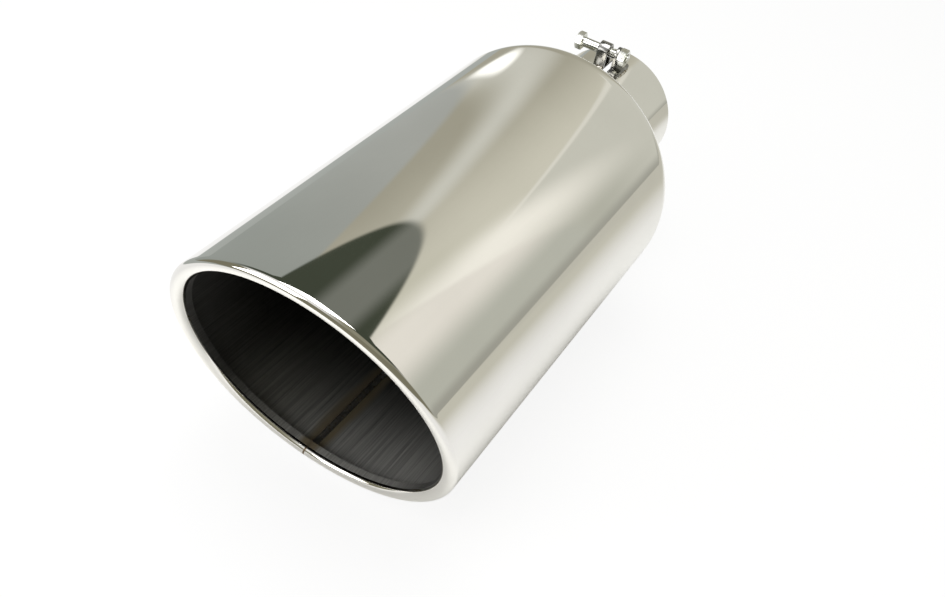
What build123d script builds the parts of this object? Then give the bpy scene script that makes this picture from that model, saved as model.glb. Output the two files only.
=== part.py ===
from build123d import *
from math import cos, radians, sin, sqrt, tan
import os

os.makedirs("parts", exist_ok=True)

# Exhaust tip: a polished stainless shell with a rolled, slanted lip and a bolt clamp on its neck
# Frame in millimetres: origin at the centre of the inlet end, the tailpipe leaves along +Y,
# the outlet faces -Y, the clamp and the long side of the slant are up at +Z

# Shell sizes
outlet_diameter = 200.0
overall_length = 464.0
cut_angle = 17.0
wall = 1.5
inlet_bore = 103.5
neck_length = 88.0
shoulder_radius = 27.5
shoulder_slope = 60.0
neck_fillet = 6.0

# Rolled lip: outside radius of the roll, flat on its crown, how far it curls back,
# and the steps in each quarter turn, outside and inside the roll
lip_radius = 5.0
lip_flat = 0.2
curl_depth = 10.0
lip_steps = 4
fold_steps = 2

# Weld seam along the inside of the body, turned a little off the lowest line
seam_turn = 10.0
seam_width = 5.0
seam_rise = 0.6
seam_start = 6.0

# Slot that lets the neck close on the tailpipe
slot_width = 6.0
slot_length = 49.0

# Clamp bolt and nut
bolt_diameter = 8.0
bolt_length = 40.0
bolt_setback = 34.0
bolt_height = 11.5
bolt_past_nut = 1.0
bolt_point = 0.8
hex_flats = 13.0
head_height = 5.3
nut_height = 6.5
thread_clearance = 0.1

# Clamp lugs: a strip bent over the bolt on the left, an angle with a foot and an ear on the right
bolt_clearance = 0.5
lug_strip = 2.5
strap_width = 9.0
foot_length = 27.0
foot_width = 9.0

# Positions of the shell that follow from the sizes
outlet_r = outlet_diameter / 2
neck_r = inlet_bore / 2 + wall
slope = radians(shoulder_slope)
slant = radians(cut_angle)
slant_rise = outlet_r * tan(slant)
lip_round = lip_radius - lip_flat / 2
mouth_r = outlet_r - 2 * lip_radius
neck_y = -neck_length
shoulder_drop = (shoulder_radius + neck_fillet) * (1 - cos(slope))
cone_run = (outlet_r - neck_r - shoulder_drop) / tan(slope)
body_y = neck_y - (shoulder_radius + neck_fillet) * sin(slope) - cone_run
lip_lead = (outlet_r - lip_round) * tan(slant) + lip_round * (sqrt(1 + sin(slant) ** 2) - 1) / cos(slant)
slant_y = lip_lead - overall_length
past_front_y = slant_y - 2 * slant_rise
roll_turns = [radians(90 * step / lip_steps) for step in range(lip_steps + 1)]
fold_turns = [radians(90 * step / fold_steps) for step in range(fold_steps + 1)]
bend_r = lip_round - wall
bend_centre = (neck_r + neck_fillet, neck_y)
round_centre = (outlet_r - shoulder_radius, body_y)
seam_bed = wall / 5
seam_r = outlet_r - wall + seam_bed
seam_x = -seam_r * sin(radians(seam_turn))
seam_z = -seam_r * cos(radians(seam_turn))
seam_front_y = slant_y - seam_z * tan(slant) + seam_start

# Positions of the clamp that follow from the sizes
bolt_y = -bolt_setback
bolt_z = neck_r + bolt_height
bolt_r = bolt_diameter / 2
bolt_line = Axis((0, bolt_y, bolt_z), (1, 0, 0))
hole_r = bolt_r + bolt_clearance
lug_r = hole_r + lug_strip
strap_x = -slot_width / 2 - strap_width
foot_x = slot_width / 2
nut_x = foot_x + lug_strip
head_x = nut_x + nut_height + bolt_past_nut - bolt_length
head_end_x = head_x - head_height
flat_r = hex_flats / 2
bevel_r = flat_r * 1.25
bevel_run = (bevel_r - flat_r) * tan(radians(30))


# Plane of the slanted cut, or one a distance behind it, always centred on the tube axis
def cut_plane(behind):
    centre = (0, slant_y + behind / cos(slant), 0)
    return Plane(origin=centre, x_dir=(1, 0, 0), z_dir=(0, -cos(slant), -sin(slant)))


# Core that stays solid behind the mouth, so that the lip keeps its curled-back leg
with BuildPart() as curl_core:
    with BuildSketch(Plane.XZ.offset(-slant_y - 2 * slant_rise)):
        Circle(mouth_r + wall)
    extrude(amount=4 * slant_rise)
    split(bisect_by=cut_plane(curl_depth), keep=Keep.TOP)
    split(bisect_by=cut_plane(lip_round), keep=Keep.BOTTOM)
    for turn in fold_turns:
        curl_r = mouth_r + lip_round - bend_r * cos(turn)
        with BuildSketch(cut_plane(lip_round - bend_r * sin(turn))):
            Ellipse(curl_r, curl_r / cos(slant))
    loft(ruled=True)

# Hollow of the sheet, one wall thickness inside the outer shape and round inside the roll
with BuildPart() as hollow:
    with BuildSketch(Plane.XY):
        with BuildLine():
            inner_bend = CenterArc(bend_centre, neck_fillet + wall, 180, shoulder_slope)
            inner_round = CenterArc(round_centre, shoulder_radius - wall, 0, shoulder_slope)
            Line(inner_bend @ 1, inner_round @ 1)
            Polyline(inner_bend @ 0, (neck_r - wall, wall), (0, wall), (0, past_front_y))
            Polyline((0, past_front_y), (outlet_r - wall, past_front_y), inner_round @ 0)
        make_face()
    revolve(axis=Axis.Y)
    split(bisect_by=cut_plane(lip_round), keep=Keep.BOTTOM)
    for turn in fold_turns:
        pocket_r = outlet_r - lip_round + bend_r * cos(turn)
        with BuildSketch(cut_plane(lip_round - bend_r * sin(turn))):
            Ellipse(pocket_r, pocket_r / cos(slant))
    loft(ruled=True)
    add(curl_core.part, mode=Mode.SUBTRACT)

# Mouth opening through the lip, flared round over the inner half of the roll
with BuildPart() as mouth:
    with BuildSketch(Plane.XZ.offset(-slant_y - 2 * slant_rise)):
        Circle(mouth_r)
    extrude(amount=4 * slant_rise)
    for turn in roll_turns:
        flare_r = mouth_r + lip_round * (1 - cos(turn))
        with BuildSketch(cut_plane(lip_round * (1 - sin(turn)))):
            Ellipse(flare_r, flare_r / cos(slant))
    loft(ruled=True)

# Tip shell: body, shoulder, neck and rolled lip in one, with the seam inside and the slot in the neck
with BuildPart() as tip_shell:
    with BuildSketch(Plane.XY):
        with BuildLine():
            outer_bend = CenterArc(bend_centre, neck_fillet, 180, shoulder_slope)
            outer_round = CenterArc(round_centre, shoulder_radius, 0, shoulder_slope)
            Line(outer_bend @ 1, outer_round @ 1)
            Polyline(outer_bend @ 0, (neck_r, 0), (0, 0), (0, past_front_y))
            Polyline((0, past_front_y), (outlet_r, past_front_y), outer_round @ 0)
        make_face()
    revolve(axis=Axis.Y)
    split(bisect_by=cut_plane(lip_round), keep=Keep.BOTTOM)
    for turn in roll_turns:
        roll_r = outlet_r - lip_round * (1 - cos(turn))
        with BuildSketch(cut_plane(lip_round * (1 - sin(turn)))):
            Ellipse(roll_r, roll_r / cos(slant))
    loft(ruled=True)
    add(hollow.part, mode=Mode.SUBTRACT)
    add(mouth.part, mode=Mode.SUBTRACT)
    with BuildSketch(Plane.XZ.offset(-body_y)):
        with Locations((seam_x, seam_z)):
            Ellipse(seam_width / 2, seam_rise + seam_bed, rotation=-seam_turn)
    extrude(amount=body_y - seam_front_y)
    with BuildSketch(Plane.XY):
        with Locations((0, slot_width / 2 - slot_length)):
            Circle(slot_width / 2)
            Rectangle(slot_width, slot_length, align=(Align.CENTER, Align.MIN))
    extrude(amount=neck_r + wall, mode=Mode.SUBTRACT)
tip_shell.part.label = "tip_shell"
export_step(tip_shell.part, "parts/tip_shell.step")

# Neck as a plain bar, to shape the feet of the lugs
with BuildPart() as neck_bar:
    with BuildSketch(Plane.XZ):
        Circle(neck_r)
    extrude(amount=neck_length)

# Strap lug: a strip bent over the bolt, its two legs welded to the neck left of the slot
with BuildPart() as strap_lug:
    with BuildSketch(Plane.YZ.offset(strap_x)):
        with Locations((bolt_y, bolt_z)):
            Circle(lug_r)
            Rectangle(2 * lug_r, bolt_z, align=(Align.CENTER, Align.MAX))
            Circle(hole_r, mode=Mode.SUBTRACT)
            Rectangle(2 * hole_r, bolt_z, align=(Align.CENTER, Align.MAX), mode=Mode.SUBTRACT)
    extrude(amount=strap_width)
    add(neck_bar.part, mode=Mode.SUBTRACT)
strap_lug.part.label = "strap_lug"
export_step(strap_lug.part, "parts/strap_lug.step")

# Eared lug: a foot that follows the neck right of the slot, bent up into an ear for the bolt and nut
with BuildPart() as eared_lug:
    with BuildSketch(Plane.XZ.offset(bolt_setback - foot_length / 2)):
        Circle(neck_r + lug_strip)
        with Locations((foot_x, 0)):
            Rectangle(foot_width, 2 * neck_r, align=(Align.MIN, Align.MIN), mode=Mode.INTERSECT)
    extrude(amount=foot_length)
    with BuildSketch(Plane.YZ.offset(foot_x)):
        with Locations((bolt_y, bolt_z)):
            Circle(lug_r)
            Rectangle(2 * lug_r, bolt_z, align=(Align.CENTER, Align.MAX))
            Circle(hole_r, mode=Mode.SUBTRACT)
    extrude(amount=lug_strip)
    add(neck_bar.part, mode=Mode.SUBTRACT)
eared_lug.part.label = "eared_lug"
export_step(eared_lug.part, "parts/eared_lug.step")

# Clamp bolt: hexagon head standing off the strap lug, plain round where the thread is, pointed end
with BuildPart() as clamp_bolt:
    with BuildSketch(Plane.YZ.offset(head_end_x)):
        with Locations((bolt_y, bolt_z)):
            RegularPolygon(flat_r, 6, major_radius=False)
    extrude(amount=head_height)
    with BuildSketch(Plane.XZ.offset(bolt_setback)):
        with Locations((head_end_x, bolt_z)):
            Polygon((0, flat_r), (0, bevel_r), (bevel_run, bevel_r))
    revolve(axis=bolt_line, mode=Mode.SUBTRACT)
    with BuildSketch(Plane.YZ.offset(head_x)):
        with Locations((bolt_y, bolt_z)):
            Circle(bolt_r)
    extrude(amount=bolt_length)
    chamfer(clamp_bolt.edges().sort_by(Axis.X)[-1], bolt_point)
clamp_bolt.part.label = "clamp_bolt"
export_step(clamp_bolt.part, "parts/clamp_bolt.step")

# Clamp nut: hexagon nut against the outer face of the ear
with BuildPart() as clamp_nut:
    with BuildSketch(Plane.YZ.offset(nut_x)):
        with Locations((bolt_y, bolt_z)):
            RegularPolygon(flat_r, 6, major_radius=False)
            Circle(bolt_r + thread_clearance, mode=Mode.SUBTRACT)
    extrude(amount=nut_height)
    with BuildSketch(Plane.XZ.offset(bolt_setback)):
        with Locations((nut_x + nut_height, bolt_z)):
            Polygon((0, flat_r), (0, bevel_r), (-bevel_run, bevel_r))
    revolve(axis=bolt_line, mode=Mode.SUBTRACT)
clamp_nut.part.label = "clamp_nut"
export_step(clamp_nut.part, "parts/clamp_nut.step")
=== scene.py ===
from math import cos, hypot, pi, radians, sin, sqrt, tan

import bmesh
import bpy
from mathutils import Matrix, Vector


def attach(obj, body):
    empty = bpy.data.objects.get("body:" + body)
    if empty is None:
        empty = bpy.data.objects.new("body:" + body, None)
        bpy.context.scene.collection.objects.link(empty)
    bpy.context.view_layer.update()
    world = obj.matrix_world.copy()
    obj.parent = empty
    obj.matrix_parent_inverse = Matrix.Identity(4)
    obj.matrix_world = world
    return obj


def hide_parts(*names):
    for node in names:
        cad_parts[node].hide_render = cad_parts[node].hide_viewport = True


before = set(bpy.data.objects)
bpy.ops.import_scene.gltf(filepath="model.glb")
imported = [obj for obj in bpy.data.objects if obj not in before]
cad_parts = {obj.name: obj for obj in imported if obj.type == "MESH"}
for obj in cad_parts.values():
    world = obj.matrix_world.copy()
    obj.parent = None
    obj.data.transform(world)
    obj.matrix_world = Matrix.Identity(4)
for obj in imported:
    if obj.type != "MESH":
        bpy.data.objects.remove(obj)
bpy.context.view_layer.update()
MM = 0.001

# Sizes of the shell in metres, as in the solids; the lip is two quarter rounds with a narrow flat between
OUTLET_R = 100.0 * MM
WALL = 1.5 * MM
NECK_R = 53.25 * MM
NECK_LENGTH = 88.0 * MM
SHOULDER_R = 27.5 * MM
SHOULDER_SLOPE = radians(60)
NECK_FILLET = 6.0 * MM
LIP_R = 4.9 * MM
LIP_FLAT = 0.2 * MM
CURL_DEPTH = 10.0 * MM
SLANT = radians(17)
LENGTH = 464.0 * MM
SLOT_WIDTH = 6.0 * MM
SLOT_LENGTH = 49.0 * MM
SEAM_TURN = radians(10)
SEAM_WIDTH = 5.0 * MM
SEAM_RISE = 0.6 * MM
SEAM_BED = WALL / 5
SEAM_START = 6.0 * MM

# Sizes of the clamp
BOLT_R = 4.0 * MM
BOLT_LENGTH = 40.0 * MM
BOLT_Y = -34.0 * MM
BOLT_Z = NECK_R + 11.5 * MM
BOLT_PAST_NUT = 1.0 * MM
HEX_FLATS = 13.0 * MM
HEAD_HEIGHT = 5.3 * MM
NUT_HEIGHT = 6.5 * MM
NUT_BORE_R = BOLT_R * 1.02
HOLE_R = 4.5 * MM
STRIP = 2.5 * MM
STRAP_WIDTH = 9.0 * MM
FOOT_LENGTH = 27.0 * MM
FOOT_WIDTH = 9.0 * MM
FOOT_CORNER = 2.5 * MM
WELD_R = 1.3 * MM

# Thread: its length and pitch, the round it stands on, and the foot and top of its ridge
THREAD_LENGTH = 26.0 * MM
THREAD_PITCH = 1.25 * MM
THREAD_LEAD = 0.4 * MM
THREAD_RUNOUT = 1.6 * MM
CORE_R = BOLT_R * 0.86
RIDGE_FOOT_R = BOLT_R * 0.85
RIDGE_TOP_R = BOLT_R * 0.985

# Steps in the curves of the shell, outside and inside the sheet
TUBE_STEPS = 320
SHOULDER_STEPS = 28
BEND_STEPS = 12
LIP_STEPS = 20
INNER_SHOULDER_STEPS = 16
INNER_BEND_STEPS = 8
INNER_LIP_STEPS = 5

# Rings of points close beside the curves, which keep the shading of the straight walls straight
NECK_RING = 2.0 * MM
BODY_RING = 1.5 * MM
LIP_RING = 1.2 * MM
INNER_RING = 2.0 * MM
CONE_RING = 0.06

# Rounded edges, the angles that count as an edge, and the distances at which points are one
EDGE_ROUND = 0.35 * MM
EAR_EDGE_ROUND = 0.3 * MM
SHARP_EDGE = radians(50)
SHADED_EDGE = radians(38)
HEX_SHADED_EDGE = radians(25)
SAME_POINT = 1e-6
ON_CUT = 1e-7

# Places that follow from the sizes
SHOULDER_DROP = (SHOULDER_R + NECK_FILLET) * (1 - cos(SHOULDER_SLOPE))
CONE_RUN = (OUTLET_R - NECK_R - SHOULDER_DROP) / tan(SHOULDER_SLOPE)
BODY_Y = -NECK_LENGTH - (SHOULDER_R + NECK_FILLET) * sin(SHOULDER_SLOPE) - CONE_RUN
LIP_LEAD = (OUTLET_R - LIP_R) * tan(SLANT) + LIP_R * (sqrt(1 + sin(SLANT) ** 2) - 1) / cos(SLANT)
SLANT_Y = LIP_LEAD - LENGTH
MOUTH_R = OUTLET_R - 2 * LIP_R - LIP_FLAT
SLOT_END_Y = SLOT_WIDTH / 2 - SLOT_LENGTH
STRAP_X = -SLOT_WIDTH / 2 - STRAP_WIDTH
FOOT_X = SLOT_WIDTH / 2
NUT_X = FOOT_X + STRIP
BOLT_END_X = NUT_X + NUT_HEIGHT + BOLT_PAST_NUT
HEAD_X = BOLT_END_X - BOLT_LENGTH
THREAD_X = BOLT_END_X - THREAD_LENGTH
LUG_R = HOLE_R + STRIP


# Mesh helpers
def sharpen(bm, angle):
    for face in bm.faces:
        face.smooth = True
    for edge in bm.edges:
        edge.smooth = not (edge.is_manifold and edge.calc_face_angle(0) > angle)


def finish_piece(bm, name, materials, node=None, angle=SHADED_EDGE):
    bmesh.ops.remove_doubles(bm, verts=bm.verts, dist=SAME_POINT)
    bmesh.ops.recalc_face_normals(bm, faces=bm.faces)
    sharpen(bm, angle)
    mesh = bpy.data.meshes.new(name)
    bm.to_mesh(mesh)
    bm.free()
    for material in materials:
        mesh.materials.append(material)
    piece = bpy.data.objects.new(name, mesh)
    bpy.context.scene.collection.objects.link(piece)
    if node:
        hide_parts(node)
    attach(piece, "root")


def line_on(bm, vert, place):
    new = bmesh.ops.extrude_vert_indiv(bm, verts=[vert])["verts"][0]
    new.co = place
    return new


def arc_on(bm, vert, centre, turn, steps, axis=(0, 0, 1)):
    made = bmesh.ops.spin(bm, geom=[vert], cent=centre, axis=axis, angle=turn, steps=steps)
    return next(v for v in made["geom_last"] if isinstance(v, bmesh.types.BMVert))


def close_line(bm):
    bm.verts.ensure_lookup_table()
    bm.edges.new((bm.verts[-1], bm.verts[0]))


def new_points(made):
    return [g for g in made["geom"] if isinstance(g, bmesh.types.BMVert)]


def sharp_edges(bm):
    return [e for e in bm.edges if e.is_manifold and e.calc_face_angle(0) > SHARP_EDGE]


def round_off(bm, edges, offset, segments):
    bmesh.ops.bevel(bm, geom=edges, offset=offset, segments=segments, profile=0.5, affect="EDGES",
                    material=-1)


def take_in(bm, other):
    mesh = bpy.data.meshes.new("joined")
    other.to_mesh(mesh)
    other.free()
    bm.from_mesh(mesh)
    bpy.data.meshes.remove(mesh)


# Outline of the shell's sheet, drawn once round from the inlet over the lip and back inside
def shell_outline(bm):
    lead = 1 / cos(SLANT)
    roll_y = SLANT_Y + LIP_R * lead
    curl_y = SLANT_Y + CURL_DEPTH * lead
    bend = (NECK_R + NECK_FILLET, -NECK_LENGTH, 0)
    shoulder = (OUTLET_R - SHOULDER_R, BODY_Y, 0)
    outer_roll = (OUTLET_R - LIP_R, roll_y, 0)
    inner_roll = (MOUTH_R + LIP_R, roll_y, 0)
    cone_end = Vector((shoulder[0] + SHOULDER_R * cos(SHOULDER_SLOPE),
                       BODY_Y + SHOULDER_R * sin(SHOULDER_SLOPE), 0))
    inner_bend_r = NECK_FILLET + WALL
    inner_cone_end = Vector((bend[0] - inner_bend_r * cos(SHOULDER_SLOPE),
                             -NECK_LENGTH - inner_bend_r * sin(SHOULDER_SLOPE), 0))
    v = bm.verts.new((NECK_R - WALL, 0, 0))
    v = line_on(bm, v, (NECK_R, 0, 0))
    v = line_on(bm, v, (NECK_R, -NECK_LENGTH + NECK_RING, 0))
    v = line_on(bm, v, (NECK_R, -NECK_LENGTH, 0))
    v = arc_on(bm, v, bend, SHOULDER_SLOPE, BEND_STEPS)
    v = line_on(bm, v, v.co.lerp(cone_end, CONE_RING))
    v = line_on(bm, v, v.co.lerp(cone_end, 1 - CONE_RING))
    v = line_on(bm, v, cone_end)
    v = arc_on(bm, v, shoulder, -SHOULDER_SLOPE, SHOULDER_STEPS)
    v = line_on(bm, v, (OUTLET_R, BODY_Y - BODY_RING, 0))
    v = line_on(bm, v, (OUTLET_R, roll_y + LIP_RING * lead, 0))
    v = line_on(bm, v, (OUTLET_R, roll_y, 0))
    v = arc_on(bm, v, outer_roll, -pi / 2, LIP_STEPS)
    v = line_on(bm, v, (MOUTH_R + LIP_R, v.co.y, 0))
    v = arc_on(bm, v, inner_roll, -pi / 2, LIP_STEPS)
    v = line_on(bm, v, (MOUTH_R, curl_y, 0))
    v = line_on(bm, v, (MOUTH_R + WALL, curl_y, 0))
    v = line_on(bm, v, (MOUTH_R + WALL, roll_y, 0))
    v = arc_on(bm, v, inner_roll, pi / 2, INNER_LIP_STEPS)
    v = line_on(bm, v, (OUTLET_R - LIP_R, v.co.y, 0))
    v = arc_on(bm, v, outer_roll, pi / 2, INNER_LIP_STEPS)
    v = line_on(bm, v, (OUTLET_R - WALL, roll_y + INNER_RING * lead, 0))
    v = line_on(bm, v, (OUTLET_R - WALL, BODY_Y - INNER_RING, 0))
    v = line_on(bm, v, (OUTLET_R - WALL, BODY_Y, 0))
    v = arc_on(bm, v, shoulder, SHOULDER_SLOPE, INNER_SHOULDER_STEPS)
    v = line_on(bm, v, inner_cone_end)
    v = arc_on(bm, v, bend, -SHOULDER_SLOPE, INNER_BEND_STEPS)
    v = line_on(bm, v, (NECK_R - WALL, -NECK_LENGTH + INNER_RING, 0))
    line_on(bm, v, (NECK_R - WALL, 0, 0))
    bmesh.ops.remove_doubles(bm, verts=bm.verts, dist=ON_CUT)


# Slot in the top of the neck: cut along its two sides and round its end, then walled through the sheet
def cut_slot(bm):
    half = SLOT_WIDTH / 2
    upper_z = 40 * MM
    neck_y = -NECK_LENGTH
    reach = half * 1.01
    end_steps = 6

    def near_slot():
        faces = []
        for face in bm.faces:
            c = face.calc_center_median()
            if c.z > upper_z and c.y > neck_y and min(abs(v.co.x) for v in face.verts) < reach:
                faces.append(face)
        edges = {e for f in faces for e in f.edges}
        verts = {v for f in faces for v in f.verts}
        return faces + list(edges) + list(verts)

    round_end = []
    for step in range(end_steps):
        turn = pi * (step + 0.5) / end_steps
        out = Vector((cos(turn), -sin(turn), 0))
        round_end.append((Vector((0, SLOT_END_Y, 0)) + out * half * cos(pi / end_steps / 2), out))
    cuts = [((0, SLOT_END_Y - 2 * half, 0), (0, 1, 0))]
    cuts += [((half, 0, 0), (1, 0, 0)), ((-half, 0, 0), (1, 0, 0))]
    for place, normal in cuts + round_end:
        bmesh.ops.bisect_plane(bm, geom=near_slot(), plane_co=place, plane_no=normal, dist=ON_CUT)
    gone = []
    for face in bm.faces:
        c = face.calc_center_median()
        if c.z > upper_z and abs(c.x) < half and all(out.dot(c - place) < 0 for place, out in round_end):
            gone.append(face)
    bmesh.ops.delete(bm, geom=gone, context="FACES")
    rim = [e for e in bm.edges if e.is_boundary]
    middle = NECK_R - WALL / 2
    outer = [e for e in rim if all(hypot(v.co.x, v.co.z) > middle for v in e.verts)]
    inner = [e for e in rim if all(hypot(v.co.x, v.co.z) < middle for v in e.verts)]
    bmesh.ops.bridge_loops(bm, edges=outer + inner)


# Tip shell: its outline is spun about the tube axis, and its front is sheared to the slant
def make_tip_shell(outside, inside):
    front_reach = 30 * MM
    lip_back = LIP_R * 1.05 / cos(SLANT)
    edge_on = 0.02
    inlet_edge = -0.01 * MM
    bm = bmesh.new()
    shell_outline(bm)
    bmesh.ops.spin(bm, geom=bm.verts[:] + bm.edges[:], cent=(0, 0, 0), axis=(0, 1, 0), angle=2 * pi,
                   steps=TUBE_STEPS, use_merge=True)
    bmesh.ops.remove_doubles(bm, verts=bm.verts, dist=SAME_POINT)
    shear = Matrix.Identity(4)
    shear[1][2] = -tan(SLANT)
    front = [v for v in bm.verts if v.co.y < SLANT_Y + front_reach]
    bmesh.ops.transform(bm, matrix=shear, verts=front)
    bmesh.ops.recalc_face_normals(bm, faces=bm.faces)
    cut_slot(bm)
    bmesh.ops.recalc_face_normals(bm, faces=bm.faces)
    for face in bm.faces:
        c = face.calc_center_median()
        inward = face.normal.dot(Vector((c.x, 0, c.z)).normalized()) < edge_on
        behind_lip = c.y > SLANT_Y - c.z * tan(SLANT) + lip_back
        face.material_index = 1 if inward and behind_lip and c.y < inlet_edge else 0
    finish_piece(bm, "rolled_lip_shell", [outside, inside], "tip_shell")


# Seam bead along the inside of the body, with the small ripples of a weld
def make_seam(material):
    sides = 14
    cuts = 170
    fine_wave = 2.1 / MM
    slow_wave = 0.47 / MM
    seam_r = OUTLET_R - WALL + SEAM_BED
    place_x = -seam_r * sin(SEAM_TURN)
    place_z = -seam_r * cos(SEAM_TURN)
    start = SLANT_Y - place_z * tan(SLANT) + SEAM_START
    length = BODY_Y - start
    bm = bmesh.new()
    bmesh.ops.create_cone(bm, cap_ends=True, segments=sides, radius1=1, radius2=1, depth=length)
    long_edges = [e for e in bm.edges if abs(e.verts[0].co.z - e.verts[1].co.z) > length / 2]
    bmesh.ops.subdivide_edges(bm, edges=long_edges, cuts=cuts)
    for v in bm.verts:
        ripple = 1 + 0.13 * sin(v.co.z * fine_wave) + 0.05 * sin(v.co.z * slow_wave)
        half_width = SEAM_WIDTH / 2 * (0.94 + 0.06 * ripple)
        v.co = (v.co.x * half_width, v.co.y * (SEAM_RISE + SEAM_BED) * ripple, v.co.z)
    stand = Matrix.Translation((place_x, start + length / 2, place_z)) @ Matrix.Rotation(SEAM_TURN, 4, "Y")
    bmesh.ops.transform(bm, matrix=stand @ Matrix.Rotation(pi / 2, 4, "X"), verts=bm.verts)
    finish_piece(bm, "inside_seam", [material])


# Outline of a lug: up beside the bolt, over it in a half circle and down again
def lug_outline(bm, x, low, steps):
    v = bm.verts.new((x, BOLT_Y - LUG_R, low))
    v = line_on(bm, v, (x, BOLT_Y - LUG_R, BOLT_Z))
    v = arc_on(bm, v, (0, BOLT_Y, BOLT_Z), -pi, steps, (1, 0, 0))
    line_on(bm, v, (x, BOLT_Y + LUG_R, low))


# Strap lug: a strip bent over the bolt, its legs cut to the curve of the neck
def make_strap_lug(material):
    leg_drop = 2.2 * MM
    sunk = 0.2 * MM
    bm = bmesh.new()
    lug_outline(bm, STRAP_X, NECK_R - leg_drop, 18)
    sheet = bmesh.ops.extrude_edge_only(bm, edges=bm.edges[:])
    bmesh.ops.translate(bm, vec=(STRAP_WIDTH, 0, 0), verts=new_points(sheet))
    bmesh.ops.recalc_face_normals(bm, faces=bm.faces)
    top = max(bm.faces, key=lambda f: f.calc_center_median().z)
    if top.normal.z < 0:
        bmesh.ops.reverse_faces(bm, faces=bm.faces)
    bmesh.ops.solidify(bm, geom=bm.faces[:], thickness=STRIP)
    bmesh.ops.recalc_face_normals(bm, faces=bm.faces)
    for v in bm.verts:
        if v.co.z < NECK_R:
            v.co.z = sqrt((NECK_R - sunk) ** 2 - v.co.x ** 2)
    round_off(bm, sharp_edges(bm), EDGE_ROUND, 2)
    finish_piece(bm, "bent_strap_lug", [material], "strap_lug")


# Foot of the eared lug: a plate with two rounded corners, laid on the curve of the neck
def make_foot():
    bends = 6
    sunk = 0.1 * MM
    middle_x = FOOT_X + FOOT_WIDTH / 2
    foot = bmesh.new()
    bmesh.ops.create_cube(foot, size=1)
    size = Matrix.Diagonal((FOOT_WIDTH, FOOT_LENGTH, STRIP, 1))
    bmesh.ops.transform(foot, matrix=Matrix.Translation((middle_x, BOLT_Y, 0)) @ size, verts=foot.verts)
    corners = [e for e in foot.edges if abs(e.verts[0].co.z - e.verts[1].co.z) > STRIP / 2
               and e.verts[0].co.x > middle_x]
    round_off(foot, corners, FOOT_CORNER, 6)
    round_off(foot, sharp_edges(foot), EDGE_ROUND, 2)
    for step in range(1, bends):
        bend_x = FOOT_X + FOOT_WIDTH * step / bends
        bmesh.ops.bisect_plane(foot, geom=foot.verts[:] + foot.edges[:] + foot.faces[:], dist=ON_CUT,
                               plane_co=(bend_x, 0, 0), plane_no=(1, 0, 0))
    for v in foot.verts:
        height = v.co.z + STRIP / 2 - sunk
        v.co.z = sqrt((NECK_R + height) ** 2 - v.co.x ** 2)
    return foot


# Ear of the eared lug: an upright plate with a hole for the bolt
def make_ear():
    rounded_from = NECK_R + 0.5 * MM
    ear = bmesh.new()
    lug_outline(ear, FOOT_X, NECK_R, 20)
    close_line(ear)
    turned = Matrix.Translation((FOOT_X, BOLT_Y, BOLT_Z)) @ Matrix.Rotation(pi / 2, 4, "Y")
    bmesh.ops.create_circle(ear, segments=32, radius=HOLE_R, matrix=turned)
    bmesh.ops.triangle_fill(ear, edges=ear.edges[:], use_beauty=True)
    plate = bmesh.ops.extrude_face_region(ear, geom=ear.faces[:])
    bmesh.ops.translate(ear, vec=(STRIP, 0, 0), verts=new_points(plate))
    bmesh.ops.recalc_face_normals(ear, faces=ear.faces)
    rims = [e for e in sharp_edges(ear) if min(v.co.z for v in e.verts) > rounded_from]
    round_off(ear, rims, EAR_EDGE_ROUND, 2)
    return ear


def make_eared_lug(material):
    bm = make_foot()
    take_in(bm, make_ear())
    finish_piece(bm, "eared_foot_lug", [material], "eared_lug")


# Hexagon with rounded-off corners at one end or both, as on a bolt head or nut, standing on z = 0
def hexagon(bm, height, bore, both_ends):
    columns = 72
    flat = HEX_FLATS / 2
    crown = flat * 0.96
    widest = flat * 1.135
    bore_bevel = 0.5 * MM
    drop = tan(radians(30))

    def hex_r(v):
        turn = Vector((v.co.x, v.co.y)).angle_signed(Vector((1, 0)))
        from_flat = (turn + pi / 6) % (pi / 3) - pi / 6
        return min(flat / cos(from_flat), widest)

    def grow(edges, radius_at, level, slope=0):
        new = bmesh.ops.extrude_edge_only(bm, edges=edges)
        for v in new_points(new):
            r = radius_at(v)
            spread = Vector((v.co.x, v.co.y)).normalized() * r
            v.co = (spread.x, spread.y, level + (r - crown) * slope)
        return [e for e in new["geom"] if isinstance(e, bmesh.types.BMEdge)]

    bmesh.ops.create_circle(bm, segments=columns, radius=crown)
    low = bm.edges[:]
    top = grow(low, hex_r, 0, drop if both_ends else 0)
    top = grow(top, hex_r, height, -drop)
    top = grow(top, lambda v: crown, height)
    if bore:
        rims = []
        for end, level, inward in ((low, 0, bore_bevel), (top, height, -bore_bevel)):
            mouth = grow(end, lambda v: bore + bore_bevel, level)
            rims += grow(mouth, lambda v: bore, level + inward)
        bmesh.ops.bridge_loops(bm, edges=rims)
    else:
        bmesh.ops.edgeloop_fill(bm, edges=low)
        bmesh.ops.edgeloop_fill(bm, edges=top)


def lay_along_x(bm, start_x, turn):
    stand = Matrix.Translation((start_x, BOLT_Y, BOLT_Z)) @ Matrix.Rotation(turn, 4, "Y")
    bmesh.ops.transform(bm, matrix=stand, verts=bm.verts)


# Line of points beside the bolt's axis, each given by its place along the bolt and its radius
def bolt_line(points):
    bm = bmesh.new()
    x, r = points[0]
    v = bm.verts.new((x, BOLT_Y + r, BOLT_Z))
    for x, r in points[1:]:
        v = line_on(bm, v, (x, BOLT_Y + r, BOLT_Z))
    return bm


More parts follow.
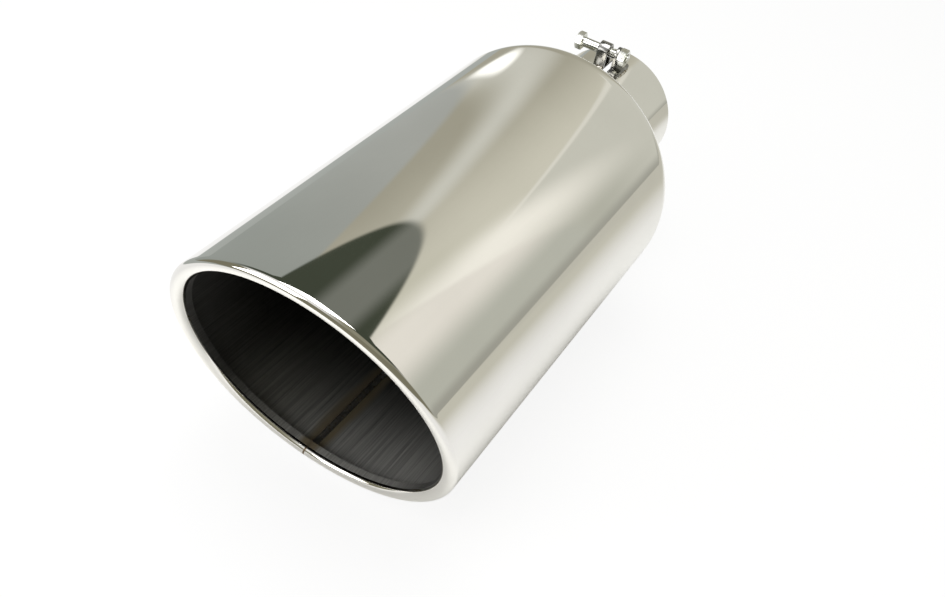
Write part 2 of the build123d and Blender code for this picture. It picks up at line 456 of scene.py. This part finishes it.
# Shank of the bolt: full size up to the thread, then the thinner round under the thread
def make_shank():
    in_head = 0.5 * MM
    taper = 0.6 * MM
    steps = 48
    shank = bolt_line([(HEAD_X - in_head, 0), (HEAD_X - in_head, BOLT_R), (THREAD_X, BOLT_R),
                       (THREAD_X + taper, CORE_R), (BOLT_END_X, CORE_R), (BOLT_END_X, 0)])
    bmesh.ops.spin(shank, geom=shank.verts[:] + shank.edges[:], cent=(0, BOLT_Y, BOLT_Z), axis=(1, 0, 0),
                   angle=2 * pi, steps=steps, use_merge=True)
    return shank


# Ridge of the thread: its closed outline wound round the bolt, sinking away at the bolt's end
def make_thread_ridge():
    steps = 36
    end_room = 2.2 * MM
    sunk_from = BOLT_END_X - 0.1 * MM
    last_x = BOLT_END_X - 0.05 * MM
    sunk_share = 0.84
    start = THREAD_X + THREAD_LEAD
    turns = int((THREAD_LENGTH - end_room) / THREAD_PITCH)
    rise = start + THREAD_PITCH * 0.42
    fall = start + THREAD_PITCH * 0.55
    end = start + THREAD_PITCH * 0.97
    ridge = bolt_line([(start, RIDGE_FOOT_R), (rise, RIDGE_TOP_R), (fall, RIDGE_TOP_R), (end, RIDGE_FOOT_R)])
    close_line(ridge)
    bmesh.ops.spin(ridge, geom=ridge.verts[:] + ridge.edges[:], cent=(0, BOLT_Y, BOLT_Z), axis=(1, 0, 0),
                   dvec=(THREAD_PITCH / steps, 0, 0), angle=2 * pi * turns, steps=steps * turns)
    bmesh.ops.holes_fill(ridge, edges=[e for e in ridge.edges if e.is_boundary], sides=4)
    for v in ridge.verts:
        full = min(1, max(0, (sunk_from - v.co.x) / THREAD_RUNOUT))
        spread = Vector((0, v.co.y - BOLT_Y, v.co.z - BOLT_Z))
        highest = BOLT_R * sunk_share + (RIDGE_TOP_R - BOLT_R * sunk_share) * full
        spread = spread.normalized() * min(spread.length, highest)
        v.co = (min(v.co.x, last_x), BOLT_Y + spread.y, BOLT_Z + spread.z)
    return ridge


# Clamp bolt: hexagon head, plain shank and a rolled thread up to its end
def make_clamp_bolt(material):
    bm = bmesh.new()
    hexagon(bm, HEAD_HEIGHT, bore=0, both_ends=False)
    lay_along_x(bm, HEAD_X, -pi / 2)
    take_in(bm, make_shank())
    take_in(bm, make_thread_ridge())
    finish_piece(bm, "threaded_clamp_bolt", [material], "clamp_bolt", HEX_SHADED_EDGE)


def make_clamp_nut(material):
    bm = bmesh.new()
    hexagon(bm, NUT_HEIGHT, bore=NUT_BORE_R, both_ends=True)
    lay_along_x(bm, NUT_X, pi / 2)
    finish_piece(bm, "hexagon_clamp_nut", [material], "clamp_nut", HEX_SHADED_EDGE)


# Weld bead that holds a leg or foot to the neck
def make_weld(name, start, end, material):
    sides = 14
    rings = 40
    flatter = 0.8
    past_end = WELD_R * 0.4
    bm = bmesh.new()
    way = Vector(end) - Vector(start)
    fine_wave = way.length / MM * 2.6
    slow_wave = 7
    bmesh.ops.create_uvsphere(bm, u_segments=sides, v_segments=rings, radius=1)
    for v in bm.verts:
        along = v.co.z
        ripple = 1 + 0.10 * sin(along * fine_wave) + 0.05 * sin(along * slow_wave + 1)
        r = WELD_R * ripple
        v.co = (v.co.x * r, v.co.y * r * flatter, along * (way.length / 2 + past_end))
    turn = way.to_track_quat("Z", "Y").to_matrix().to_4x4()
    middle = (Vector(start) + Vector(end)) / 2
    bmesh.ops.transform(bm, matrix=Matrix.Translation(middle) @ turn, verts=bm.verts)
    finish_piece(bm, name, [material])


# Node helpers
def material_tree(name):
    material = bpy.data.materials.new(name)
    material.use_nodes = True
    tree = material.node_tree
    shader = tree.nodes["Principled BSDF"]
    return material, tree, shader


def add_node(tree, kind, **settings):
    made = tree.nodes.new(kind)
    for key, value in settings.items():
        setattr(made, key, value)
    return made


def put(tree, socket, value):
    if isinstance(value, bpy.types.NodeSocket):
        tree.links.new(value, socket)
    else:
        socket.default_value = value


def maths(tree, operation, *values, clamp=False):
    made = add_node(tree, "ShaderNodeMath", operation=operation, use_clamp=clamp)
    for socket, value in zip(made.inputs, values):
        put(tree, socket, value)
    return made.outputs[0]


def times(tree, first, second):
    return maths(tree, "MULTIPLY", first, second)


def scaled(tree, value, scale, start):
    return maths(tree, "MULTIPLY_ADD", value, scale, start)


def apart(tree, value, place):
    return maths(tree, "ABSOLUTE", maths(tree, "SUBTRACT", value, place))


def soft_step(tree, value, low, high):
    made = add_node(tree, "ShaderNodeMapRange", interpolation_type="SMOOTHSTEP")
    put(tree, made.inputs["Value"], value)
    put(tree, made.inputs["From Min"], low)
    put(tree, made.inputs["From Max"], high)
    return made.outputs["Result"]


def mix(tree, factor, a, b):
    made = add_node(tree, "ShaderNodeMix", data_type="RGBA", blend_type="MIX")
    put(tree, made.inputs["Factor"], factor)
    put(tree, made.inputs["A"], a)
    put(tree, made.inputs["B"], b)
    return made.outputs["Result"]


def mix_shaders(tree, factor, first, second, out):
    made = add_node(tree, "ShaderNodeMixShader")
    put(tree, made.inputs[0], factor)
    put(tree, made.inputs[1], first.outputs[0])
    put(tree, made.inputs[2], second.outputs[0])
    put(tree, out.inputs["Surface"], made.outputs[0])


def grey(value):
    return (value, value, value, 1)


def rgb(r, g, b):
    return (r, g, b, 1)


def dot(tree, vector, direction):
    made = add_node(tree, "ShaderNodeVectorMath", operation="DOT_PRODUCT")
    put(tree, made.inputs[0], vector)
    put(tree, made.inputs[1], direction)
    return made.outputs["Value"]


def split_xyz(tree, vector):
    made = add_node(tree, "ShaderNodeSeparateXYZ")
    put(tree, made.inputs[0], vector)
    return made.outputs[:]


def noise(tree, vector, scale, detail, stretch=(1, 1, 1)):
    mapping = add_node(tree, "ShaderNodeMapping")
    put(tree, mapping.inputs["Vector"], vector)
    put(tree, mapping.inputs["Scale"], stretch)
    made = add_node(tree, "ShaderNodeTexNoise")
    put(tree, made.inputs["Vector"], mapping.outputs["Vector"])
    put(tree, made.inputs["Scale"], scale)
    put(tree, made.inputs["Detail"], detail)
    return made.outputs["Fac"]


def object_place(tree):
    return add_node(tree, "ShaderNodeTexCoord").outputs["Object"]


def bump(tree, shader, height, strength, distance):
    made = add_node(tree, "ShaderNodeBump")
    made.inputs["Strength"].default_value = strength
    made.inputs["Distance"].default_value = distance
    put(tree, made.inputs["Height"], height)
    put(tree, shader.inputs["Normal"], made.outputs["Normal"])


def new_group(name, inputs, outputs):
    group = bpy.data.node_groups.new(name, "ShaderNodeTree")
    for socket, kind in inputs.items():
        group.interface.new_socket(socket, in_out="INPUT", socket_type="NodeSocket" + kind)
    for socket, kind in outputs.items():
        group.interface.new_socket(socket, in_out="OUTPUT", socket_type="NodeSocket" + kind)
    entry = add_node(group, "NodeGroupInput").outputs
    leave = add_node(group, "NodeGroupOutput").inputs
    return group, entry, leave


def use(tree, group, **values):
    made = add_node(tree, "ShaderNodeGroup", node_tree=group)
    for key, value in values.items():
        put(tree, made.inputs[key], value)
    return made.outputs


# Shared effect: hairline scratches that run mostly along one direction, as masks
def make_hairlines():
    group, entry, leave = new_group("hairlines", {"Place": "Vector", "Stretch": "Vector"},
                                    {"Scratches": "Float", "Lines": "Float"})
    sparse = noise(group, entry["Place"], scale=1, detail=2, stretch=entry["Stretch"])
    dense = noise(group, entry["Place"], scale=3.7, detail=5, stretch=entry["Stretch"])
    put(group, leave["Scratches"], soft_step(group, sparse, 0.68, 0.74))
    put(group, leave["Lines"], dense)
    return group


# Shared effect: soft cloudy handling marks
def make_smudges():
    group, entry, leave = new_group("smudges", {"Place": "Vector", "Scale": "Float"}, {"Cloud": "Float"})
    cloud = noise(group, entry["Place"], scale=entry["Scale"], detail=4)
    put(group, leave["Cloud"], soft_step(group, cloud, 0.35, 0.68))
    return group


# Shared effect: the colours heat leaves on stainless, from bare metal through straw and brown to blue
def make_heat_tint():
    straw = rgb(0.30, 0.25, 0.165)
    brown = rgb(0.17, 0.13, 0.085)
    blue = rgb(0.13, 0.13, 0.18)
    group, entry, leave = new_group("heat_tint", {"Heat": "Float", "Bare": "Color"}, {"Colour": "Color"})
    colour = mix(group, soft_step(group, entry["Heat"], 0.1, 0.4), entry["Bare"], straw)
    colour = mix(group, soft_step(group, entry["Heat"], 0.4, 0.7), colour, brown)
    colour = mix(group, soft_step(group, entry["Heat"], 0.75, 1.0), colour, blue)
    put(group, leave["Colour"], colour)
    return group


# Distance sideways from the seam, a mask of the lower half, and depth behind the slanted cut, in metres
def from_seam(tree, place):
    y, z = split_xyz(tree, place)[1:]
    across = dot(tree, place, (cos(SEAM_TURN), 0, -sin(SEAM_TURN)))
    below = soft_step(tree, z, 0.0, -30 * MM)
    depth = maths(tree, "SUBTRACT", scaled(tree, z, tan(SLANT), y), SLANT_Y)
    return maths(tree, "ABSOLUTE", across), below, depth


# Mirror-polished stainless on the outside and over the lip, with the thin weld line across the lip
def make_polished():
    dull = rgb(0.79, 0.775, 0.735)
    bright = rgb(0.825, 0.81, 0.77)
    brushed = rgb(0.70, 0.69, 0.66)
    weld_brown = rgb(0.2, 0.15, 0.1)
    material, tree, shader = material_tree("polished_stainless")
    place = object_place(tree)
    hair = use(tree, hairlines, Place=place, Stretch=(260, 9, 260))
    cloud = use(tree, smudges, Place=place, Scale=11)["Cloud"]
    colour = mix(tree, cloud, dull, bright)
    colour = mix(tree, times(tree, hair["Lines"], 0.16), colour, brushed)
    away, below, depth = from_seam(tree, place)
    weld_line = times(tree, soft_step(tree, away, 0.9 * MM, 0.4 * MM), below)
    weld_line = times(tree, weld_line, soft_step(tree, depth, 16 * MM, 11 * MM))
    colour = mix(tree, weld_line, colour, weld_brown)
    put(tree, shader.inputs["Base Color"], colour)
    rough = scaled(tree, cloud, 0.02, 0.02)
    rough = scaled(tree, hair["Scratches"], 0.03, rough)
    put(tree, shader.inputs["Roughness"], scaled(tree, weld_line, 0.3, rough))
    shader.inputs["Metallic"].default_value = 1
    waves = noise(tree, place, scale=5, detail=2, stretch=(1.4, 0.5, 1.4))
    bump(tree, shader, waves, strength=0.25, distance=1.2 * MM)
    return material


# Plain mill finish inside: lengthwise streaks, painted shade that darkens the sheet deep in the tube and
# high up and is lightest low down near the mouth, and brown heat tint along the seam
def make_mill_inside():
    dark_streak = rgb(0.12, 0.118, 0.113)
    light_streak = rgb(0.80, 0.79, 0.755)
    scratch = rgb(0.75, 0.74, 0.7)
    # Painted shade: a near-black colour that darkens the inside deep in the tube and high up
    painted_shade = grey(0.01)
    deepest_shade = 0.93
    material, tree, shader = material_tree("mill_finish_inside")
    place = object_place(tree)
    hair = use(tree, hairlines, Place=place, Stretch=(240, 4, 240))
    cloud = use(tree, smudges, Place=place, Scale=16)["Cloud"]
    away, below, depth = from_seam(tree, place)
    near_mouth = soft_step(tree, depth, 130 * MM, 0.0)
    bare = mix(tree, hair["Lines"], dark_streak, light_streak)
    bare = mix(tree, times(tree, hair["Scratches"], times(tree, near_mouth, 0.5)), bare, scratch)
    # Painted shade is lightest low down near the mouth, where light falls in, and darkest deep inside and
    # high up
    low_down = soft_step(tree, dot(tree, place, (0, 0, -1)), 45 * MM, 96 * MM)
    lit_share = times(tree, near_mouth, scaled(tree, low_down, 0.85, 0.15))
    bare = mix(tree, scaled(tree, lit_share, -deepest_shade, deepest_shade), bare, painted_shade)
    reach = scaled(tree, cloud, 6 * MM, 8 * MM)
    heat = maths(tree, "SUBTRACT", 1, maths(tree, "DIVIDE", away, reach), clamp=True)
    heat = times(tree, times(tree, heat, below), 0.6)
    tint = use(tree, heat_tint, Heat=heat, Bare=bare)["Colour"]
    put(tree, shader.inputs["Base Color"], tint)
    put(tree, shader.inputs["Roughness"], scaled(tree, hair["Lines"], 0.2, 0.4))
    put(tree, shader.inputs["Metallic"], scaled(tree, near_mouth, -0.25, 0.95))
    bump(tree, shader, hair["Lines"], strength=0.3, distance=0.4 * MM)
    return material


# Plain steel of the lugs and the plated bolt: brushed lines and a cloudy tone
def make_plain_steel(name, dark, light, smooth, rough):
    material, tree, shader = material_tree(name)
    place = object_place(tree)
    hair = use(tree, hairlines, Place=place, Stretch=(300, 1500, 1500))
    cloud = use(tree, smudges, Place=place, Scale=130)["Cloud"]
    colour = mix(tree, cloud, dark, light)
    colour = mix(tree, times(tree, hair["Lines"], 0.35), colour, grey(0.3))
    put(tree, shader.inputs["Base Color"], colour)
    worn = scaled(tree, hair["Lines"], 0.5, times(tree, cloud, 0.5))
    put(tree, shader.inputs["Roughness"], scaled(tree, worn, rough - smooth, smooth))
    shader.inputs["Metallic"].default_value = 1
    bump(tree, shader, hair["Lines"], strength=0.2, distance=0.1 * MM)
    return material


# Weld beads: dull rippled metal with heat colours
def make_weld_steel(name, heat):
    bare = rgb(0.62, 0.6, 0.56)
    material, tree, shader = material_tree(name)
    place = object_place(tree)
    cloud = use(tree, smudges, Place=place, Scale=320)["Cloud"]
    tint = use(tree, heat_tint, Heat=times(tree, cloud, heat), Bare=bare)["Colour"]
    put(tree, shader.inputs["Base Color"], tint)
    put(tree, shader.inputs["Roughness"], scaled(tree, cloud, 0.2, 0.28))
    shader.inputs["Metallic"].default_value = 1
    bump(tree, shader, noise(tree, place, scale=1800, detail=3), strength=0.4, distance=0.1 * MM)
    return material


# Light tent round the object: plain cloth panels with straight edges, white to the camera
def make_world():
    world = bpy.data.worlds.new("light_tent")
    bpy.context.scene.world = world
    world.use_nodes = True
    tree = world.node_tree
    cloth = tree.nodes["Background"]
    way = add_node(tree, "ShaderNodeTexCoord").outputs["Generated"]
    x, y, z = split_xyz(tree, way)
    round_axis = maths(tree, "ARCTAN2", x, z)

    def turned(first, last):
        return soft_step(tree, round_axis, radians(first), radians(last))

    def past_edge(facing, edge, soft):
        return soft_step(tree, dot(tree, way, facing), edge - soft, edge + soft)

    # Back cloth, darker on the left
    colour = mix(tree, turned(-50, 30), rgb(0.42, 0.405, 0.33), rgb(0.70, 0.685, 0.59))

    # Lower right cloth, with a bright tuck along its upper edge
    right = soft_step(tree, x, -0.05, 0.05)
    hem = dot(tree, way, (-0.042, -0.053, 0.998))
    low = times(tree, right, soft_step(tree, hem, 0.476, 0.462))
    colour = mix(tree, low, colour, rgb(0.66, 0.66, 0.595))
    tuck = times(tree, right, soft_step(tree, apart(tree, hem, 0.4657), 0.011, 0.003))
    colour = mix(tree, tuck, colour, rgb(0.82, 0.81, 0.74))

    # Sheen along the left cloth
    from_sheen = apart(tree, dot(tree, way, (-0.618, -0.689, 0.38)), -0.1575)
    sheen = times(tree, soft_step(tree, x, 0.0, -0.1), soft_step(tree, from_sheen, 0.075, 0.0))
    colour = mix(tree, sheen, colour, rgb(0.68, 0.68, 0.62))

    # Two front panels, bright on the right, which fade low down and dim towards the top
    dim = turned(42, 20)
    dim_colour = rgb(0.66, 0.65, 0.55)
    wide = mix(tree, turned(85, 45), rgb(0.53, 0.535, 0.47), rgb(1.04, 1.02, 0.95))
    wide = mix(tree, dim, wide, dim_colour)
    colour = mix(tree, past_edge((0.474, -0.877, 0.079), -0.4578, 0.045), colour, wide)
    fold = mix(tree, turned(78, 52), rgb(0.55, 0.56, 0.50), rgb(0.92, 0.89, 0.83))
    fold = mix(tree, dim, fold, dim_colour)
    colour = mix(tree, past_edge((0.603, -0.797, 0.032), -0.2589, 0.012), colour, fold)

    # Dark crease low on the right
    crease = times(tree, soft_step(tree, x, 0.2, 0.4), soft_step(tree, z, 0.02, -0.1))
    colour = mix(tree, crease, colour, rgb(0.41, 0.41, 0.365))

    # Grey left panel, and a bright spot beside it
    grey_left = mix(tree, soft_step(tree, y, 0.6, 0.76), rgb(0.35, 0.375, 0.355), rgb(0.44, 0.455, 0.435))
    left = soft_step(tree, x, 0.05, -0.1)
    left = times(tree, past_edge((-0.719, -0.693, 0.05), -0.1092, 0.015), left)
    colour = mix(tree, left, colour, grey_left)
    spot_x = maths(tree, "DIVIDE", dot(tree, way, (0.221, 0.056, 0.974)), 0.125)
    spot_y = maths(tree, "DIVIDE", dot(tree, way, (-0.788, -0.579, 0.212)), 0.022)
    from_spot = maths(tree, "ADD", times(tree, spot_x, spot_x), times(tree, spot_y, spot_y))
    from_spot = maths(tree, "SQRT", from_spot)
    spot = times(tree, soft_step(tree, from_spot, 1.25, 0.6), soft_step(tree, x, -0.3, -0.4))
    colour = mix(tree, spot, colour, rgb(1.4, 1.4, 1.35))

    # Dark opening up in front, with a paler stripe up its middle
    stripe = soft_step(tree, apart(tree, round_axis, radians(3)), radians(20), radians(8))
    dark = mix(tree, stripe, rgb(0.06, 0.07, 0.05), rgb(0.2, 0.21, 0.185))
    sides = soft_step(tree, maths(tree, "ABSOLUTE", round_axis), radians(75), radians(50))
    opening = times(tree, past_edge((-0.049, -0.568, 0.822), 0.1681, 0.006), sides)
    colour = mix(tree, opening, colour, dark)

    # Front of the tent: dark olive, with a bright roof up on the left
    roof = mix(tree, soft_step(tree, x, -0.1, 0.35), grey(0.98), rgb(0.3, 0.29, 0.22))
    front = mix(tree, soft_step(tree, z, 0.45, 0.6), rgb(0.22, 0.21, 0.15), roof)
    colour = mix(tree, soft_step(tree, y, 0.15, -0.05), colour, front)
    put(tree, cloth.inputs["Color"], colour)
    white = add_node(tree, "ShaderNodeBackground")
    white.inputs["Color"].default_value = grey(1)
    to_camera = add_node(tree, "ShaderNodeLightPath").outputs["Is Camera Ray"]
    mix_shaders(tree, to_camera, cloth, white, tree.nodes["World Output"])


# Pale floor: nearly white to the camera, and the tent's cloth colours in the polished metal
def make_floor_cloth():
    right_cloth = rgb(0.64, 0.63, 0.55)
    back_cloth = rgb(0.60, 0.59, 0.52)
    left_cloth = rgb(0.43, 0.455, 0.435)
    front_cloth = rgb(0.24, 0.23, 0.165)
    camera_share = 0.88
    near_share = 0.1
    material, tree, shader = material_tree("pale_floor")
    place = object_place(tree)
    pale = mix(tree, noise(tree, place, scale=3, detail=3), grey(0.9), grey(0.92))
    put(tree, shader.inputs["Base Color"], pale)
    shader.inputs["Roughness"].default_value = 0.9
    shader.inputs["Specular IOR Level"].default_value = 0
    rays = add_node(tree, "ShaderNodeLightPath").outputs
    across, along = split_xyz(tree, place)[:2]
    far_right = scaled(tree, along, 0.5, across)
    cloth = mix(tree, soft_step(tree, far_right, 0.04, 0.6), grey(1), right_cloth)
    cloth = mix(tree, soft_step(tree, along, 0.2, 0.5), cloth, back_cloth)
    cloth = mix(tree, soft_step(tree, across, -0.40, -0.43), cloth, left_cloth)
    before = soft_step(tree, along, -0.78, -0.86)
    cloth = mix(tree, before, cloth, front_cloth)
    glow = add_node(tree, "ShaderNodeEmission")
    put(tree, glow.inputs["Color"], mix(tree, rays["Is Camera Ray"], cloth, grey(1)))
    away = soft_step(tree, maths(tree, "ABSOLUTE", across), 0.10, 0.24)
    away = maths(tree, "MAXIMUM", away, before)
    glossy = times(tree, rays["Is Glossy Ray"], scaled(tree, away, 1 - near_share, near_share))
    share = maths(tree, "ADD", times(tree, rays["Is Camera Ray"], camera_share), glossy, clamp=True)
    mix_shaders(tree, share, shader, glow, tree.nodes["Material Output"])
    return material


def make_floor():
    left = -0.85
    right = 0.92
    middle_y = -0.1
    half_length = 1.5
    gap = 0.2 * MM
    bm = bmesh.new()
    bmesh.ops.create_grid(bm, x_segments=1, y_segments=1, size=1)
    size = Matrix.Diagonal(((right - left) / 2, half_length, 1, 1))
    place = Matrix.Translation(((left + right) / 2, middle_y, -OUTLET_R - gap))
    bmesh.ops.transform(bm, matrix=place @ size, verts=bm.verts)
    mesh = bpy.data.meshes.new("floor")
    bm.to_mesh(mesh)
    bm.free()
    mesh.materials.append(make_floor_cloth())
    floor = bpy.data.objects.new("floor", mesh)
    bpy.context.scene.collection.objects.link(floor)


def make_lamp(name, place, target, size, power):
    data = bpy.data.lights.new(name, "AREA")
    data.shape = "SQUARE"
    data.size = size
    data.energy = power
    lamp = bpy.data.objects.new(name, data)
    aim = (Vector(target) - Vector(place)).to_track_quat("-Z", "Y")
    lamp.matrix_world = Matrix.Translation(place) @ aim.to_matrix().to_4x4()
    bpy.context.scene.collection.objects.link(lamp)


# Camera as fitted to the photo
def make_camera():
    right = Vector((0.853174, 0.493540, 0.168854))
    up = Vector((-0.439228, 0.505109, 0.742929))
    place = Vector((0.22728, SLANT_Y - 0.351991, 0.44607))
    data = bpy.data.cameras.new("camera")
    data.sensor_fit = "HORIZONTAL"
    data.sensor_width = 36
    data.lens = 40
    data.clip_start = 10 * MM
    camera = bpy.data.objects.new("camera", data)
    turn = Matrix((right, up, right.cross(up))).transposed().to_4x4()
    camera.matrix_world = Matrix.Translation(place) @ turn
    bpy.context.scene.collection.objects.link(camera)
    bpy.context.scene.camera = camera


# The shared effects and the metals
hairlines = make_hairlines()
smudges = make_smudges()
heat_tint = make_heat_tint()
polished = make_polished()
mill = make_mill_inside()
lug_steel = make_plain_steel("lug_steel", dark=rgb(0.17, 0.17, 0.16), light=rgb(0.36, 0.355, 0.335),
                             smooth=0.14, rough=0.28)
bolt_steel = make_plain_steel("bolt_steel", dark=rgb(0.66, 0.67, 0.60), light=rgb(0.80, 0.80, 0.77),
                              smooth=0.12, rough=0.24)
clamp_weld = make_weld_steel("clamp_weld", heat=0.6)
seam_weld = make_weld_steel("seam_weld", heat=0.3)

# The pieces
make_tip_shell(polished, mill)
make_seam(seam_weld)
make_strap_lug(lug_steel)
make_eared_lug(lug_steel)
make_clamp_bolt(bolt_steel)
make_clamp_nut(bolt_steel)

# Weld beads: one along each leg of the strap, one along the outer edge of the foot
leg_inset = 0.6 * MM
leg_gap = 0.4 * MM
leg_slope = 1.2 * MM
foot_half = FOOT_LENGTH * 0.36
foot_z = NECK_R - WELD_R
for name, side in (("strap_weld_front", -1), ("strap_weld_back", 1)):
    leg_y = BOLT_Y + side * (LUG_R + leg_gap)
    make_weld(name, (STRAP_X + leg_inset, leg_y, NECK_R - leg_slope),
              (STRAP_X + STRAP_WIDTH - leg_inset, leg_y, NECK_R), clamp_weld)
make_weld("foot_weld", (FOOT_X + FOOT_WIDTH, BOLT_Y - foot_half, foot_z),
          (FOOT_X + FOOT_WIDTH, BOLT_Y + foot_half, foot_z), clamp_weld)

# The studio
make_world()
make_floor()
make_lamp("top_softbox", place=(-0.1, -0.2, 1.6), target=(0, -0.25, 0), size=1.2, power=22)
make_lamp("mouth_softbox", place=(-0.45, -1.0, 0.35), target=(0.04, -0.36, -0.07), size=0.6, power=5)
make_camera()
bpy.context.scene.view_settings.view_transform = "Standard"
